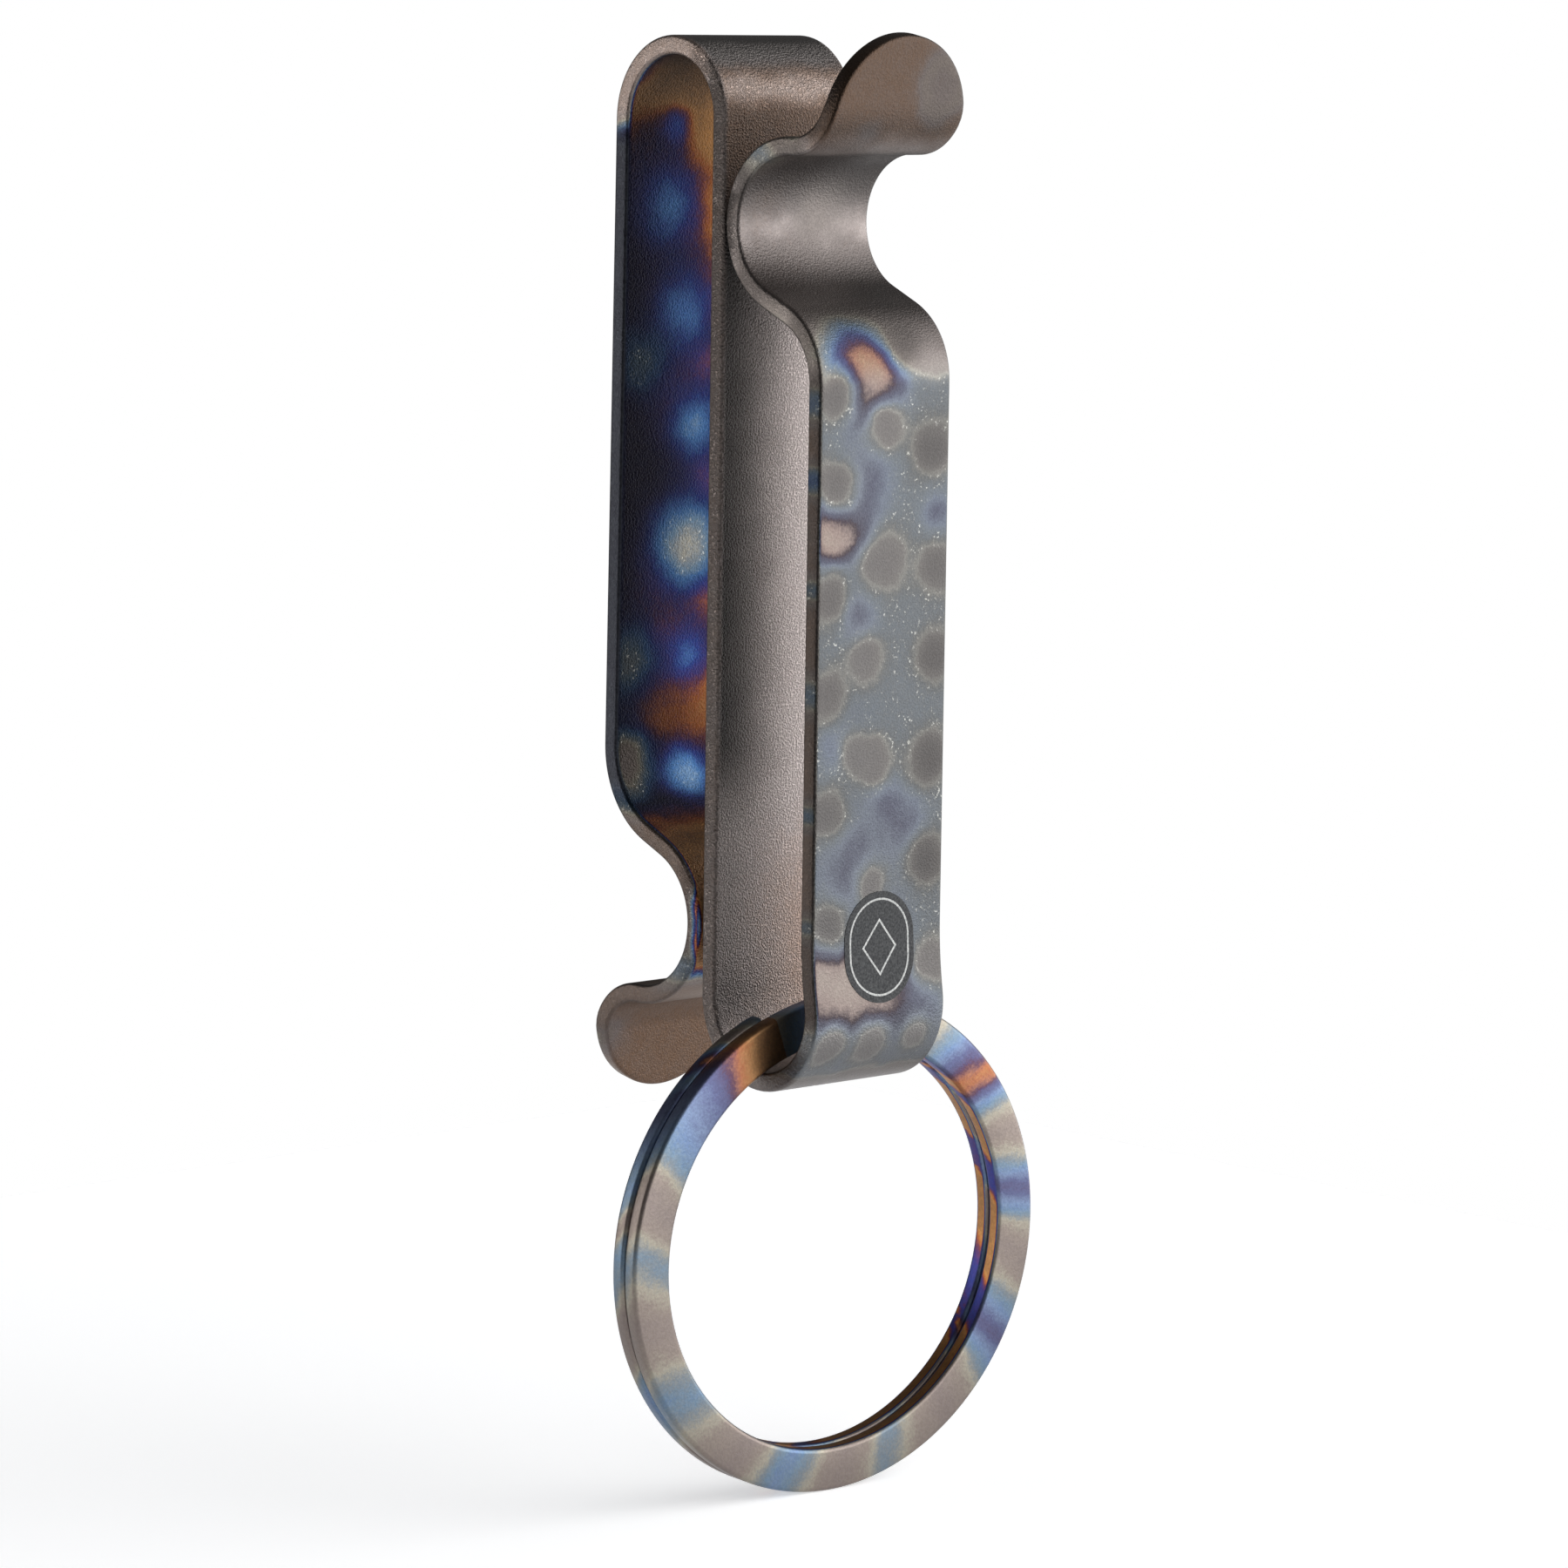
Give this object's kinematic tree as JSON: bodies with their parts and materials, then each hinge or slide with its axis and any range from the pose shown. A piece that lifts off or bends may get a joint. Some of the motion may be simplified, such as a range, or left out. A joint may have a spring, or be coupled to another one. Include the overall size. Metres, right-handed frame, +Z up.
{
  "type": "double-sided suspension clip with split key ring",
  "caption": "Folded titanium strip with a spring belt arm on one side and a spring key arm on the other, and a split key ring hanging in its bottom bend.",
  "frame": {"origin": "the belt seat: the middle of the inside of the top bend, where a belt's or pocket's edge comes to rest", "axes": "+Z up along the clip, out of the top bend; +X from the belt side to the key side, square to the centre plate; +Y across the strip's width"},
  "size_m": [0.0233, 0.032, 0.0923],
  "materials": {
    "strip": "bead-blasted titanium with flame-anodised spots from taupe through cream and blue to violet",
    "ring": "flat titanium wire, heat-coloured in bands of taupe, cream and blue"
  },
  "bodies": {
    "strip_body": {"centre_plate": "strip"},
    "belt_arm_body": {"belt_arm": "strip"},
    "key_arm_body": {"key_arm": "strip"},
    "ring_body": {"ring_rear_coil": "ring", "ring_joggle": "ring"},
    "front_coil_body": {"ring_front_coil": "ring"}
  },
  "joints": [
    {"name": "belt_arm_flex", "type": "hinge", "parent": "strip_body", "child": "belt_arm_body", "pos_m": [-0.00535, 0, -0.00409], "axis": [0, 1, 0], "range_deg": [0, 6], "stiffness_Nm_per_rad": 6.1},
    {"name": "key_arm_flex", "type": "hinge", "parent": "strip_body", "child": "key_arm_body", "pos_m": [0.01412, 0, -0.05374], "axis": [0, 1, 0], "range_deg": [0, 6], "stiffness_Nm_per_rad": 6.6},
    {"name": "ring_swing", "type": "hinge", "parent": "strip_body", "child": "ring_body", "pos_m": [0.00935, 0, -0.05915], "axis": [0, -1, 0], "range_deg": [-120, 150]},
    {"name": "coil_spread", "type": "hinge", "parent": "ring_body", "child": "front_coil_body", "pos_m": [0.00984, 0.00037, -0.05865], "axis": [-0.0837, -0.9965, 0], "range_deg": [0, 3], "stiffness_Nm_per_rad": 3.6}
  ]
}
